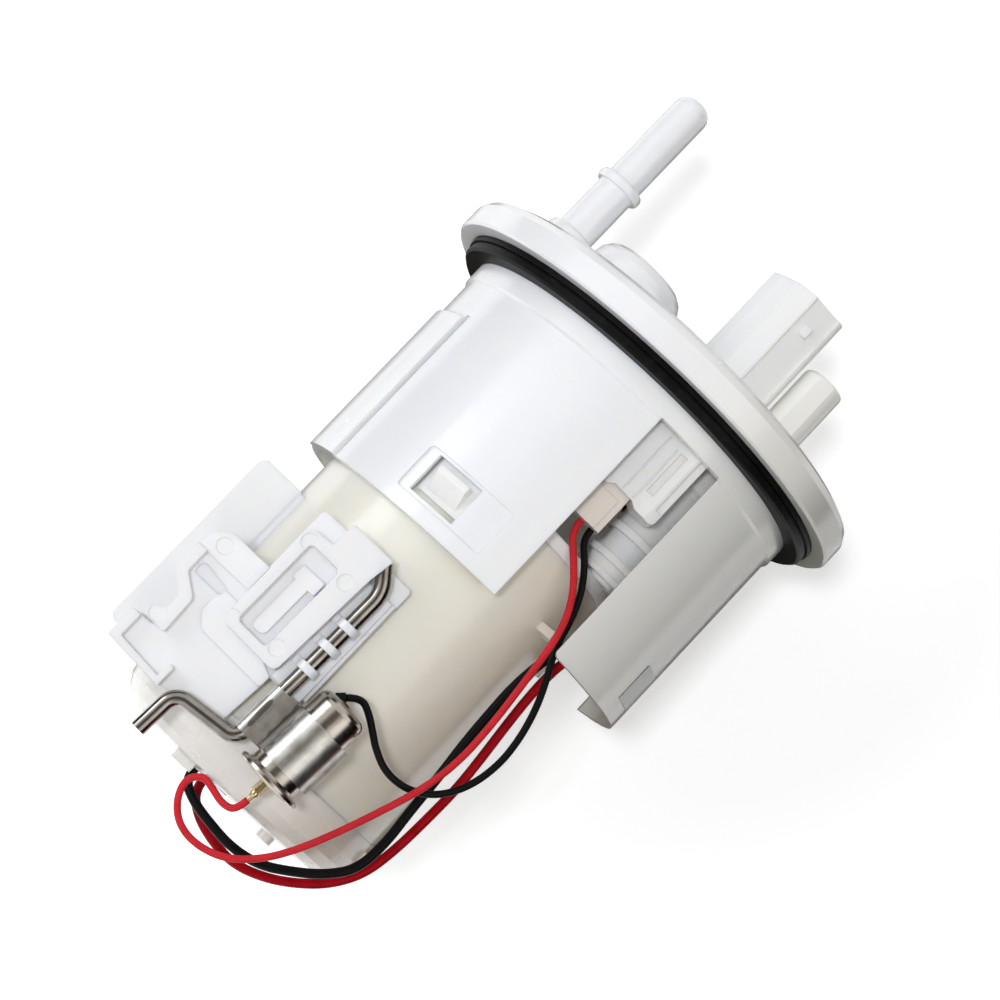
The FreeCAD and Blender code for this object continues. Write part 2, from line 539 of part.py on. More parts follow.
# Pleated filter element between two end rings.
PLEATS = round(P.pleats)
pleats = star(P.filter_outer, P.filter_inner + P.pleat_sheet * 2, PLEATS, -P.filter_foot, -P.filter_top).cut(
    star(P.filter_outer - P.pleat_sheet * 2, P.filter_inner, PLEATS, -P.filter_foot, -P.filter_top))
node("filter_element", solid("filter_element", pleats))
node("filter_upper_ring", ring("filter_upper_ring", "filter_outer + 0.6", "shell_radius + 0.4",
                               "-filter_top", "-filter_top + filter_ring", "can_x", "can_y"))
node("filter_lower_ring", ring("filter_lower_ring", "filter_outer + 0.6", "shell_radius + 0.4",
                               "-filter_foot - filter_ring", "-filter_foot", "can_x", "can_y"))

# Pump: shell, end covers, magnets, armature and impeller on the canister's axis.
node("pump_shell", lathe("pump_shell", [
    ("shell_radius - shell_wall", "-shell_foot"), ("shell_radius", "-shell_foot"),
    ("shell_radius", "-shell_top"), ("shell_radius - shell_wall", "-shell_top")], "can_x", "can_y"))
node("pump_outlet_cover", lathe("pump_outlet_cover", [
    ("bush_radius", "-cover_top - 5"), ("bush_radius", "-shell_top - 1"),
    ("shell_radius - shell_wall", "-shell_top - 1"), ("shell_radius - shell_wall", "-shell_top"),
    ("shell_radius", "-shell_top"), ("shell_radius", "-shell_top + 1.4"),
    ("shell_radius - 5", "-cover_top"), ("nozzle_radius", "-cover_top"),
    ("nozzle_radius", "-nozzle_top"), ("nozzle_bore", "-nozzle_top"),
    ("nozzle_bore", "-cover_top - 2"), ("bush_radius", "-cover_top - 2")], "can_x", "can_y"))
node("upper_bearing", ring("upper_bearing", "bush_radius", "shaft_radius + running_gap",
                           "-cover_top - 2 - bush_length + 1", "-cover_top - 2", "can_x", "can_y"))
magnet_arcs = []
for start in (20.0, 200.0):
    arc = Part.makeCylinder(P.shell_radius - P.shell_wall, P.magnet_foot - P.magnet_top,
                            FreeCAD.Vector(P.can_x, P.can_y, -P.magnet_foot), FreeCAD.Vector(0, 0, 1), 140)
    arc = arc.cut(Part.makeCylinder(P.magnet_inner, P.magnet_foot - P.magnet_top,
                                    FreeCAD.Vector(P.can_x, P.can_y, -P.magnet_foot)))
    arc.rotate(FreeCAD.Vector(P.can_x, P.can_y, 0), FreeCAD.Vector(0, 0, 1), start)
    magnet_arcs.append(arc)
node("magnets", solid("magnets", Part.makeCompound(magnet_arcs)))

slots = []
for i in range(8):
    slots.append(turned(box("can_x + core_radius - slot_depth", "can_y - slot_width*0.5", "-core_foot - 1",
                            "slot_depth + 1", "slot_width", "core_foot - core_top + 2"),
                        P.can_x, P.can_y, 45 * i))
node("armature_core", cut(ring("core_blank", "core_radius", "shaft_radius", "-core_foot", "-core_top",
                               "can_x", "can_y"), *slots))
node("armature_windings", lathe("armature_windings", [
    ("commutator_radius", "-commutator_foot - 0.4"), ("core_radius - 2.6", "-commutator_foot - 1"),
    ("core_radius - 2", "-core_top"), ("shaft_radius", "-core_top"),
    ("shaft_radius", "-commutator_foot - 0.4")], "can_x", "can_y"))
node("armature_shaft", lathe("armature_shaft", [
    ("0", "-shaft_foot"), ("shaft_radius", "-shaft_foot"), ("shaft_radius", "-shaft_top"),
    ("0", "-shaft_top")], "can_x", "can_y"))
node("commutator", ring("commutator", "commutator_radius", "shaft_radius", "-commutator_foot",
                        "-commutator_top", "can_x", "can_y"))
brush_pair = []
for side in (0, 180):
    brush_pair.append(turned(box("can_x + commutator_radius + brush_gap", "can_y - brush_width*0.5",
                                 "-commutator_foot + 1",
                                 "shell_radius - shell_wall - commutator_radius - brush_gap - 0.4",
                                 "brush_width", "brush_depth"), P.can_x, P.can_y, side))
brushes = node("brushes", doc.addObject("Part::Compound", "brushes"))
brushes.Links = brush_pair

node("pump_housing", lathe("pump_housing", [
    ("bush_radius", "-impeller_top + clearance"),
    ("impeller_radius + clearance", "-impeller_top + clearance"),
    ("impeller_radius + clearance", "-impeller_foot - clearance"),
    ("shell_radius - shell_wall", "-impeller_foot - clearance"),
    ("shell_radius - shell_wall", "-housing_top"), ("bush_radius", "-housing_top")], "can_x", "can_y"))
node("lower_bearing", ring("lower_bearing", "bush_radius", "shaft_radius + running_gap",
                           "-impeller_top + clearance", "-housing_top", "can_x", "can_y"))
node("pump_inlet_cover", lathe("pump_inlet_cover", [
    ("inlet_radius - 1", "-inlet_foot"), ("inlet_radius", "-inlet_foot"),
    ("inlet_radius", "-shell_foot - 1"), ("shell_radius", "-shell_foot - 1"),
    ("shell_radius", "-shell_foot"), ("shell_radius - shell_wall", "-shell_foot"),
    ("shell_radius - shell_wall", "-impeller_foot - clearance"),
    ("inlet_radius - 1", "-impeller_foot - clearance")], "can_x", "can_y"))
vane_slots = []
for i in range(15):
    vane_slots.append(turned(box("can_x + impeller_radius - 2.4", "can_y - 0.6", "-impeller_foot - 1",
                                 "4", "1.2", "impeller_foot - impeller_top + 2"), P.can_x, P.can_y, 24 * i))
node("impeller", cut(ring("impeller_blank", "impeller_radius", "shaft_radius", "-impeller_foot",
                          "-impeller_top", "can_x", "can_y"), *vane_slots))
node("rubber_cushion", ring("rubber_cushion", "shell_radius", "shell_radius - 3", "-cap_foot + cap_floor",
                            "-shell_foot - 1", "can_x", "can_y"))

# Riser from the lid's port to the valve socket under the outlet.
riser_route = [(-27.0, -9.4, -P.case_top + P.lid_thick + 5), (-27.0, -9.4, -25.5),
               (P.outlet_x, P.outlet_y, -20.5), (P.outlet_x, P.outlet_y, -P.socket_foot)]
riser_outer = tube("riser_tube", riser_route, 4.4)
riser_inner = tube("riser bore", riser_route, 2.5)
node("riser_tube", solid("riser_tube", riser_outer.cut(riser_inner)))

# Sensor bracket: side panel, floor with its wavy wall, raised T box, rail and rod clips.
SIDE_PANEL = [(-45.0, -61.8, 1.6), (-34.9, -61.8, 0.6), (-34.9, -104.4, 0.6), (-45.4, -104.4, 2.0)]
FLOOR = [(-41.0, -83.2, 1.6), (-40.4, -79.4, 2.2), (-37.6, -77.4, 1.4), (-14.4, -77.4, 0), (-14.4, -91, 0),
         (-15.4, -103.4, 1.0), (-25.3, -106.0, 0.6), (-29.4, -107.2, 0.8), (-41.5, -106.4, 0.6),
         (-41.7, -99.8, 0.6), (-36.6, -99.6, 0.8), (-36.6, -92.4, 2.0), (-41.3, -89.0, 1.6)]
WAVY_WALL = [(-41.0, -83.0, 0), (-38.8, -83.0, 0), (-38.8, -88.1, 1.2), (-34.6, -91.2, 2.0),
             (-34.2, -99.2, 0.4), (-39.6, -99.2, 0.4), (-39.4, -97.2, 0.6), (-36.9, -95.6, 0.8),
             (-36.9, -92.5, 1.6), (-41.2, -88.9, 1.6)]
LOBE = [(-41.0, -83.1, 0), (-40.4, -79.4, 2.2), (-37.6, -77.4, 1.4), (-28.4, -77.4, 0), (-28.4, -83.1, 0)]
CORNER_WALL = [(-41.5, -99.8, 0.3), (-39.4, -99.8, 0.3), (-39.4, -104.9, 0.3), (-29.5, -105.7, 0.2),
               (-29.5, -102.6, 0.4), (-28.3, -102.6, 0.4), (-28.3, -107.1, 0.3), (-41.4, -106.3, 0.3)]
LAYER = [(-32.0, -86.0, 0.6), (-27.0, -86.0, 0), (-14.6, -92.0, 0), (-14.6, -94.6, 0.8),
         (-29.6, -94.2, 1.6), (-32.0, -91.6, 1.6)]
BASE_PLATE = [(-28.6, -62.6, 1.2), (-6.4, -62.6, 0.8), (-6.4, -67.0, 0.8), (-7.4, -67.4, 0.4),
              (-7.6, -92.0, 0.8), (-28.6, -92.0, 0)]
T_BOX = [(-28.0, -67.0, 1.6), (-22.8, -66.6, 0), (-22.4, -61.2, 0.4), (-12.6, -61.4, 0.4),
         (-13.4, -66.5, 0.6), (-14.6, -90.8, 1.6), (-28.2, -90.4, 2.0)]
T_RECESS = [(-25.8, -69.2, 1.0), (-18.4, -69.2, 1.4), (-18.8, -88.6, 1.0), (-26.0, -88.4, 1.0)]
T_PEDESTAL = [(-24.2, -72.8, 0.3), (-18.9, -72.8, 0.3), (-18.9, -75.8, 0.3), (-20.4, -75.9, 0),
              (-20.6, -87.4, 1.2), (-23.6, -87.4, 1.2), (-23.4, -75.9, 0), (-24.2, -75.8, 0.3)]
U_SLOT = [(-38.1, -84.6, 1.1), (-31.3, -85.5, 0.8), (-31.4, -87.4, 0.6), (-38.1, -87.4, 0.6)]
PINS = [(-26.2, -69.2, -44.6), (-16.3, -70.1, -44.6), (-17.2, -87.2, -44.6), (-26.9, -88.8, -44.6)]

bracket = slab(FLOOR, P.floor_face, P.floor_back)
bracket = bracket.fuse([
    slab(BASE_PLATE, P.floor_face, P.floor_back + 0.2), slab(WAVY_WALL, P.wall_face, P.floor_face),
    slab(LOBE, P.layer_face, P.floor_face), slab(CORNER_WALL, P.wall_face, P.floor_face),
    slab(LAYER, P.layer_face, P.floor_face), slab(T_BOX, P.box_face, P.floor_back)])
bracket = bracket.cut(slab(U_SLOT, P.floor_face - 3, P.floor_back + 1))
bracket = bracket.cut(slab(T_RECESS, P.box_face - 1, P.floor_face - 2.8))
bracket = bracket.fuse(slab(T_PEDESTAL, P.box_face + 1.4, P.floor_face - 2.6))
for x, z, depth in PINS + [(-37.1, -80.2, P.layer_face), (-37.5, -97.4, P.wall_face)]:
    bracket = bracket.cut(Part.makeCylinder(P.pin_radius, 1 + P.pin_depth, FreeCAD.Vector(x, depth - 1, z),
                                            FreeCAD.Vector(0, 1, 0)))
# Rail beside the rod, three clips over it, and the deep web that carries the plate on the side panel.
rail = block(-8.1, -6.6, -39.8, P.floor_back, -90.8, -66.8)
bracket = bracket.fuse([rail, block(-41.4, -39.6, P.floor_back - 0.2, -17.2, -106.2, -99.8),
                        block(-40.8, -39.0, P.floor_back - 0.2, -17.2, -88.6, -78.6),
                        block(-34.0, -31.8, P.floor_back - 0.2, -20.5, -104.5, -80.5)])
bracket = bracket.fuse(block(-14.4, -7.4, P.channel_face, P.floor_face, -91.6, -67.0))
for z in (-75.8, -80.8, -86.2):
    low, high, rod_x = z - P.clip_width / 2, z + P.clip_width / 2, -10.2 + (z + 66.8) * 0.018
    arch = Part.makeCylinder(P.clip_radius, P.clip_width, FreeCAD.Vector(rod_x, P.rod_depth, low))
    bracket = bracket.fuse([arch, block(-13.8, rod_x, P.channel_face - 0.6, P.floor_face, low, high),
                            block(rod_x - P.clip_radius, rod_x + P.clip_radius, P.rod_depth, P.floor_face,
                            low, high)])
ROD = [(-13.6, P.rod_depth, -62.6), (-10.2, P.rod_depth, -66.8), (-10.5, P.rod_depth, -84.0),
       (-11.3, P.rod_depth, -104.2), (-24.9, P.rod_depth, -105.6), (-25.4, P.rod_depth, -115.0)]
ROD_BENDS = [6.7, 400, 2.6, 3.2]
rod_shape = tube("sensor_rod", ROD, P.rod_radius, ROD_BENDS)
rod_room = tube("rod channel", ROD, P.rod_radius, ROD_BENDS)
case_clear = Part.makeCylinder(P.case_radius, 130, FreeCAD.Vector(P.can_x, P.can_y, -125))
node("sensor_bracket", solid("sensor_bracket", bracket.cut(rod_room).cut(case_clear).removeSplitter()))
node("sensor_rod", solid("sensor_rod", rod_shape))
panel = slab(SIDE_PANEL, -17.2, -15.0).fuse([block(-45.2, -43.4, -17.2, -8.0, -102.5, -63.5),
                                             block(-36.6, -34.9, -17.2, -9.0, -104.2, -62.0)])
node("side_panel", solid("side_panel", panel.cut(case_clear).removeSplitter()))

# Level sensor: drawn can with a rolled base lip, leaning a little, clamped to the rod by a folded
# sheet band. Its pieces are stated from the foot of the can.
SENSOR = ("sensor_x", "sensor_y", "-can_foot", ((0, 1, 0), P.sensor_tilt))
can_blank = lathe("sensor_can", [
    ("can_radius - can_sheet", "0"), ("flange_lip - 0.4", "0"), ("flange_lip", "0.3"),
    ("flange_lip", "flange_thick - 0.3"), ("flange_lip - 0.4", "flange_thick"),
    ("can_radius + 0.4", "flange_thick"), ("can_radius", "flange_thick + 0.5")]
    + rounded_top("can_radius", "can_height - can_dome", "can_round") + [
    ("1.2", "can_height - 0.1"), ("0", "can_height"), ("0", "can_height - can_sheet"),
    ("can_radius - can_round", "can_height - can_dome - can_sheet"),
    ("can_radius - can_sheet - 0.4", "can_height - can_dome - can_round*0.617"),
    ("can_radius - can_sheet", "can_height - can_dome - can_round")], *SENSOR)
node("sensor_base", lathe("sensor_base", [
    ("1.3", "-base_sheet"), ("can_radius", "-base_sheet"), ("can_radius + 0.3", "0"), ("1.3", "0")],
    *SENSOR))
stud = lathe("terminal_stud", [
    ("0", "-stud_reach"), ("0.45", "-stud_reach"), ("0.55", "-stud_reach + 0.8"),
    ("0.85", "-base_sheet - nut_height - 0.5"), ("0.85", "-base_sheet"), ("1.3", "-base_sheet"),
    ("1.3", "2.6"), ("0", "2.6")], *SENSOR)
nut = doc.addObject("Part::Prism", "terminal_nut")
nut.Polygon = 6
bind(nut, "Circumradius", "nut_radius")
bind(nut, "Height", "nut_height")
lean = math.radians(P.sensor_tilt)
nut_foot = P.base_sheet + P.nut_height
place(nut, "sensor_x - %.4f" % (nut_foot * math.sin(lean)), "sensor_y",
      "-can_foot - %.4f" % (nut_foot * math.cos(lean)), SENSOR[3])
node("sensor_terminal", fuse(stud, nut))
node("thermistor", lathe("thermistor", [("0", "2.6"), ("3.2", "2.6"), ("3.2", "5"), ("0", "5")], *SENSOR))
node("contact_spring", lathe("contact_spring", [
    ("1.6", "5"), ("2.2", "5"), ("2.2", "can_height - 2.6"), ("1.6", "can_height - 2.6")], *SENSOR))
# The grommet leaves the dome behind its top, leaning with the lead that ends on it.
LEAD_EXIT = FreeCAD.Vector(-1.85, -42.8, -85.15)
grommet_foot = LEAD_EXIT - FreeCAD.Vector(1, 0, 1).normalize() * P.grommet_length
grommet = cylinder("grommet_radius", "grommet_length", grommet_foot.x, grommet_foot.y, grommet_foot.z,
                   ((0, 1, 0), 45))
node("sensor_can", cut(can_blank, grommet))
node("lead_grommet", grommet)
lean_frame = FreeCAD.Placement(FreeCAD.Vector(P.sensor_x, P.sensor_y, -P.can_foot),
                               FreeCAD.Rotation(FreeCAD.Vector(0, 1, 0), P.sensor_tilt))
clamp_height = P.clamp_high - P.clamp_low
band = Part.makeCylinder(P.can_radius + P.clamp_sheet, clamp_height, FreeCAD.Vector(0, 0, P.clamp_low))
band_tail = block(P.can_radius - 0.6, P.can_radius + 1.1, -0.5, 0, P.clamp_low, P.clamp_high)
can_room = Part.makeCylinder(P.can_radius, P.can_height, FreeCAD.Vector(0, 0, 0))
for shape in (band, band_tail, can_room):
    shape.Placement = lean_frame
clamp_foot, clamp_top = P.clamp_low - P.can_foot, P.clamp_high - P.can_foot
sleeve = tube("clamp sleeve", [(-11.22, P.rod_depth, clamp_foot), (-10.79, P.rod_depth, clamp_top)],
              P.rod_radius + P.clamp_sheet)
web = block(-11.0, -5.6, P.rod_depth - P.rod_radius - P.clamp_sheet, P.rod_depth - P.rod_radius,
            clamp_foot, clamp_top)
clamp = band.fuse([sleeve, web, band_tail]).cut(can_room)
clamp = clamp.cut(tube("clamp channel", ROD, P.rod_radius, ROD_BENDS))
node("sensor_clamp", solid("sensor_clamp", clamp.removeSplitter()))

# Leads. Each is stated from its plug to its far end.
SENSOR_RED = [(7.4, -31.6, -30.2), (7.4, -31.6, -32.8), (10.9, -32.0, -36.2), (15.2, -32.8, -40.8),
              (18.0, -33.4, -45.7), (19.4, -34.5, -51.8), (20.4, -36.0, -61.4), (21.2, -37.6, -70.6),
              (21.3, -39.4, -79.3), (19.8, -41.2, -87.5), (17.2, -42.2, -95.0), (14.0, -42.4, -103.5),
              (10.9, -42.2, -110.6), (7.4, -41.9, -116.4), (2.4, -41.4, -121.2), (-3.4, -40.8, -123.0),
              (-8.2, -40.0, -122.4), (-11.6, -39.4, -119.4), (-12.9, -39.4, -115.6), (-10.8, -40.4, -113.0),
              (-7.9, -41.6, -113.6), (-5.0, -42.8, -114.3), (-2.3, -44.9, -113.5), (-2.07, -45.0, -110.59)]
SENSOR_BLACK = [(10.0, -31.6, -30.2), (10.0, -31.6, -32.6), (13.4, -31.6, -35.6), (16.9, -31.4, -40.2),
                (19.0, -31.4, -45.6), (20.4, -31.6, -51.4), (23.6, -32.8, -57.6), (25.6, -33.8, -62.8),
                (26.9, -35.0, -68.6), (27.3, -36.0, -74.6), (26.0, -37.0, -81.2), (22.8, -38.0, -86.6),
                (18.0, -38.9, -89.6), (12.8, -40.4, -90.0), (8.6, -41.8, -88.2), (5.7, -42.5, -86.1),
                (3.2, -43.0, -84.4), (0.2, -42.8, -83.1), tuple(LEAD_EXIT)]
POWER_BLACK = [(-13.2, -23.0, -113.7), (-13.2, -23.0, -116.5), (-9.0, -24.6, -118.4), (-3.6, -26.2, -119.2),
               (2.0, -27.4, -119.6), (8.0, -28.2, -118.4), (13.4, -28.8, -115.0), (18.0, -28.8, -111.4),
               (21.8, -28.4, -106.6), (22.4, -27.8, -99.4), (21.6, -27.2, -91.4), (21.2, -27.0, -83.6),
               (20.4, -26.8, -76.0), (20.0, -26.8, -68.4), (19.8, -26.6, -61.0), (20.8, -25.8, -53.2),
               (23.0, -24.0, -46.4), (24.8, -21.6, -39.8), (24.9, -16.8, -32.4), (20.8, -12.9, -26.2),
               (16.0, -11.6, -22.6), (12.6, -11.2, -20.2), (12.6, -11.2, -16.0)]
POWER_RED = [(-10.6, -20.0, -113.7), (-10.6, -20.0, -116.9), (-6.6, -21.6, -119.9), (-1.8, -23.0, -121.3),
             (4.0, -24.0, -121.8), (10.0, -24.8, -119.8), (15.4, -25.0, -116.4), (20.2, -24.8, -112.0),
             (23.6, -24.6, -106.2), (24.8, -24.2, -98.8), (25.2, -24.0, -91.0), (25.4, -24.0, -83.0),
             (24.8, -24.0, -75.2), (24.0, -24.2, -67.8), (23.4, -24.6, -60.2), (23.4, -24.2, -52.6),
             (25.6, -22.0, -45.4), (27.4, -18.8, -38.4), (27.2, -13.6, -31.4), (22.4, -9.2, -25.6),
             (17.0, -8.0, -22.2), (13.0, -7.6, -19.8), (13.0, -7.6, -16.0)]
LEADS = (("sensor_lead_red", SENSOR_RED, P.thin_lead), ("sensor_lead_black", SENSOR_BLACK, P.thin_lead),
         ("power_lead_black", POWER_BLACK, P.power_lead), ("power_lead_red", POWER_RED, P.power_lead))
for name, points, radius in LEADS:
    node(name, solid(name, tube(name, points, radius)))

doc.recompute()
for part in doc.Objects:
    if "Invalid" in part.State or "Error" in part.State:
        print("BAD STATE", part.Name, part.Label, part.State)
os.makedirs("parts", exist_ok=True)
for old in os.listdir("parts"):
    os.remove(os.path.join("parts", old))
for name, part in NODES.items():
    shape = part.Shape
    if shape.isNull() or not shape.isValid() or not shape.Solids:
        print("BAD SHAPE", name, shape.isNull() or shape.isValid(), len(shape.Solids))
        continue
    shape.exportStep("parts/%s.step" % name)
    bounds = shape.BoundBox
    print("%-22s solids %d volume %9.1f x %6.1f %6.1f y %6.1f %6.1f z %6.1f %6.1f" % (
        name, len(shape.Solids), shape.Volume, bounds.XMin, bounds.XMax, bounds.YMin, bounds.YMax,
        bounds.ZMin, bounds.ZMax))
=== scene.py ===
import math

import bpy
import numpy as np
from mathutils import Matrix, Vector


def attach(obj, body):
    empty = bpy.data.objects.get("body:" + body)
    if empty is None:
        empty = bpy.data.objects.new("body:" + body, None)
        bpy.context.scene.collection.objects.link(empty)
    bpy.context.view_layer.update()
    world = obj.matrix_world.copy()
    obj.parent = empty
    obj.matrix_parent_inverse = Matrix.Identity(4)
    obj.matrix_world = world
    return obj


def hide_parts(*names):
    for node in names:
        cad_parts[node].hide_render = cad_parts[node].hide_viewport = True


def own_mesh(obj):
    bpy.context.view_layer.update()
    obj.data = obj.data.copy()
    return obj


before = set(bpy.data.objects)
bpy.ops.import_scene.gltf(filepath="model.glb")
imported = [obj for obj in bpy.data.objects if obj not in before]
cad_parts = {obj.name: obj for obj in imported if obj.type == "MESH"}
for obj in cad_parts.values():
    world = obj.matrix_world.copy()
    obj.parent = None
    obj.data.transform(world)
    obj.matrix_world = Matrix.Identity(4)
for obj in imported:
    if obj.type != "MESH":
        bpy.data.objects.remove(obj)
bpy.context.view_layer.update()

MM = 0.001

# Camera: a long lens over the object as it lies on its back. In the picture the object's axis is
# turned down by ROLL from level, and it leans by TILT along the line of sight.
ROLL = math.radians(46.45)
TILT = math.radians(6.7)
FOCAL, FILM = 93.6, 36.0
NEAREST, FARTHEST = 0.01, 10
ORIGIN_SEEN = Vector((23.5, -15.5, 524.9)) * MM
AXIS_SHIFT = 6.77 * MM

flat = Vector((math.cos(ROLL), -math.sin(ROLL), 0))
across = Vector((math.sin(ROLL), math.cos(ROLL), 0))
depth = Vector((0, 0, 1))
axis_z = math.cos(TILT) * flat + math.sin(TILT) * depth
axis_y = math.cos(TILT) * depth - math.sin(TILT) * flat
seen = Matrix((across, axis_y, axis_z)).transposed()
origin_seen = ORIGIN_SEEN + axis_z * AXIS_SHIFT
RIGHT, UP, BACK = seen[0].copy(), -seen[1], -seen[2]

camera = bpy.data.objects.new("camera", bpy.data.cameras.new("camera"))
camera.data.lens, camera.data.sensor_width = FOCAL, FILM
camera.data.clip_start, camera.data.clip_end = NEAREST, FARTHEST
place = Matrix((RIGHT, UP, BACK)).transposed().to_4x4()
place.translation = -(seen.transposed() @ origin_seen)
camera.matrix_world = place
bpy.context.scene.collection.objects.link(camera)
bpy.context.scene.camera = camera
bpy.context.scene.view_settings.view_transform = "Standard"


# Shading
class Value:
    """A socket that takes part in plain arithmetic."""

    def __init__(self, shading, socket):
        self.shading, self.socket = shading, socket

    def __add__(self, other):
        return self.shading.maths("ADD", self, other)

    def __sub__(self, other):
        return self.shading.maths("SUBTRACT", self, other)

    def __rsub__(self, other):
        return self.shading.maths("SUBTRACT", other, self)

    def __mul__(self, other):
        return self.shading.maths("MULTIPLY", self, other)

    __radd__, __rmul__ = __add__, __mul__

    def between(self, low, high):
        """0 at low, 1 at high, smooth in between."""
        return self.shading.node("ShaderNodeMapRange", {"interpolation_type": "SMOOTHSTEP"},
                                 {0: self, 1: low, 2: high, 3: 0.0, 4: 1.0})


class Shading:
    """The nodes of one material or of the world, made from expressions."""

    def __init__(self, holder):
        holder.use_nodes = True
        self.tree = holder.node_tree

    def node(self, kind, settings=None, sockets=None, out=0):
        """Any node: its settings first, then the values or links of its sockets."""
        made = self.tree.nodes.new(kind)
        for key, value in (settings or {}).items():
            setattr(made, key, value)
        for key, value in (sockets or {}).items():
            if isinstance(value, Value):
                self.tree.links.new(value.socket, made.inputs[key])
            else:
                made.inputs[key].default_value = value
        return Value(self, made.outputs[out]) if made.outputs else None

    def maths(self, operation, *values):
        return self.node("ShaderNodeMath", {"operation": operation}, dict(enumerate(values)))

    def point(self):
        """Object coordinates, which are the row's."""
        return self.node("ShaderNodeTexCoord", out="Object")

    def shown(self):
        """1 for rays that see the background directly, in gloss or through glass."""
        camera, gloss, glass = (self.node("ShaderNodeLightPath", out="Is %s Ray" % kind)
                                for kind in ("Camera", "Glossy", "Transmission"))
        return self.maths("MINIMUM", camera + gloss + glass, 1.0)


class Finish(Shading):
    """A material with a Principled shader."""

    def __init__(self, name, **constants):
        self.material = bpy.data.materials.new(name)
        super().__init__(self.material)
        self.shader = self.tree.nodes["Principled BSDF"]
        self.set(**constants)

    def set(self, **sockets):
        """Principled sockets by name, with _ for a space."""
        for name, value in sockets.items():
            socket = self.shader.inputs[name.replace("_", " ")]
            if isinstance(value, Value):
                self.tree.links.new(value.socket, socket)
            elif isinstance(value, tuple) and len(value) == 3 and socket.type == "RGBA":
                socket.default_value = (*value, 1)
            else:
                socket.default_value = value

    def where(self, stretch=(1, 1, 1)):
        """The point, stretched along the row's axes."""
        return self.node("ShaderNodeMapping", {}, {"Vector": self.point(), "Scale": stretch})

    def axis(self, index):
        """One of the row's coordinates."""
        return self.node("ShaderNodeSeparateXYZ", {}, {0: self.point()}, index)

    def noise(self, size, detail=3.0, stretch=(1, 1, 1)):
        """Cloudy value around 0.5, whose blotches are about size metres."""
        return self.node("ShaderNodeTexNoise", {}, {
            "Vector": self.where(stretch), "Scale": 1 / size, "Detail": detail,
            "Roughness": 0.55}, "Fac")

    def mix(self, factor, first, second):
        """Colour between two colours."""
        ends = [value if isinstance(value, Value) else (*value, 1) for value in (first, second)]
        return self.node("ShaderNodeMix", {"data_type": "RGBA"},
                         {0: factor, 6: ends[0], 7: ends[1]}, 2)

    def soft_edge(self, radius):
        """Normal that rounds the edges over radius metres."""
        return self.node("ShaderNodeBevel", {"samples": 6}, {"Radius": radius})

    def edge_mask(self, rounded):
        """0 on faces, up to 1 along edges: where the rounded normal leaves the plain one."""
        plain = self.node("ShaderNodeNewGeometry", out="Normal")
        facing = self.node("ShaderNodeVectorMath", {"operation": "DOT_PRODUCT"},
                           {0: rounded, 1: plain}, "Value")
        return (1 - facing).between(0.0, 0.25)

    def bump(self, height, rise, normal=None):
        """Relief whose height of 1 stands rise metres above the surface."""
        sockets = {"Height": height, "Distance": rise, "Strength": 1.0}
        if normal:
            sockets["Normal"] = normal
        return self.node("ShaderNodeBump", {}, sockets)


# Shade written into the mouldings' colour, as the photograph shows it towards +X: where it sets in,
# and where the outermost part turns darker still. It isn't the plastic's own colour, so under other
# light that side stays too dark. Without shadow_side a moulding has one colour all round.
SHADOW_SIDE_FROM, SHADOW_SIDE_TO = -12 * MM, 34 * MM
RIM_FROM, RIM_TO, RIM_SHARE, RIM_TONE = 30 * MM, 42 * MM, 0.6, 0.5
# Sizes of the mouldings' tone clouds, dull patches, pits and slow waves
CLOUDS, PATCHES, PITS, WAVES = 14 * MM, 2.5 * MM, 0.35 * MM, 9 * MM
# Share of the painted highlight that the mouldings' thin edges take
EDGE_HIGHLIGHT_SHARE = 0.7


def plastic(name, colour, shade, edge_highlight, rough=0.36, scatter=0.5, radius=0.25 * MM,
            grain=0.002 * MM, reach=2.4 * MM, shadow_side=None):
    """Moulded acetal: faint clouds between two tones, a painted highlight on thin edges, soft
    corners. Towards +X its colour turns to the shadow side's."""
    made = Finish(name, IOR=1.48, Subsurface_Weight=scatter, Subsurface_Scale=reach,
                  Subsurface_Radius=(1.0, 0.85, 0.6), Coat_Weight=0.3, Coat_Roughness=0.12)
    rounded = made.soft_edge(radius)
    body = made.mix(made.noise(CLOUDS, 2).between(0.3, 0.7), colour, shade)
    if shadow_side:
        body = made.mix(made.axis(0).between(SHADOW_SIDE_FROM, SHADOW_SIDE_TO), body, shadow_side)
        body = made.mix(made.axis(0).between(RIM_FROM, RIM_TO) * RIM_SHARE, body,
                        tuple(channel * RIM_TONE for channel in shadow_side))
    relief = made.noise(PITS, 2) + made.noise(WAVES, 1) * 3.0
    # Painted highlight: along thin edges the colour turns towards the third colour
    made.set(Base_Color=made.mix(made.edge_mask(rounded) * EDGE_HIGHLIGHT_SHARE, body, edge_highlight),
             Roughness=made.noise(PATCHES, 5) * 0.06 + (rough - 0.03),
             Normal=made.bump(relief, grain, rounded))
    return made


# Sizes of the metals' patches of a second tone, dull spots and the tears in the dark band
TARNISH, SPOTS, TEARS = 3 * MM, 1.2 * MM, 0.5 * MM
# The painted shade band's colour and share, how far its ends are torn and how softly they fade
SHADE_BAND_TONE, SHADE_BAND_SHARE, TORN, FADE = (0.12, 0.11, 0.10), 0.75, 2.4 * MM, 0.3 * MM


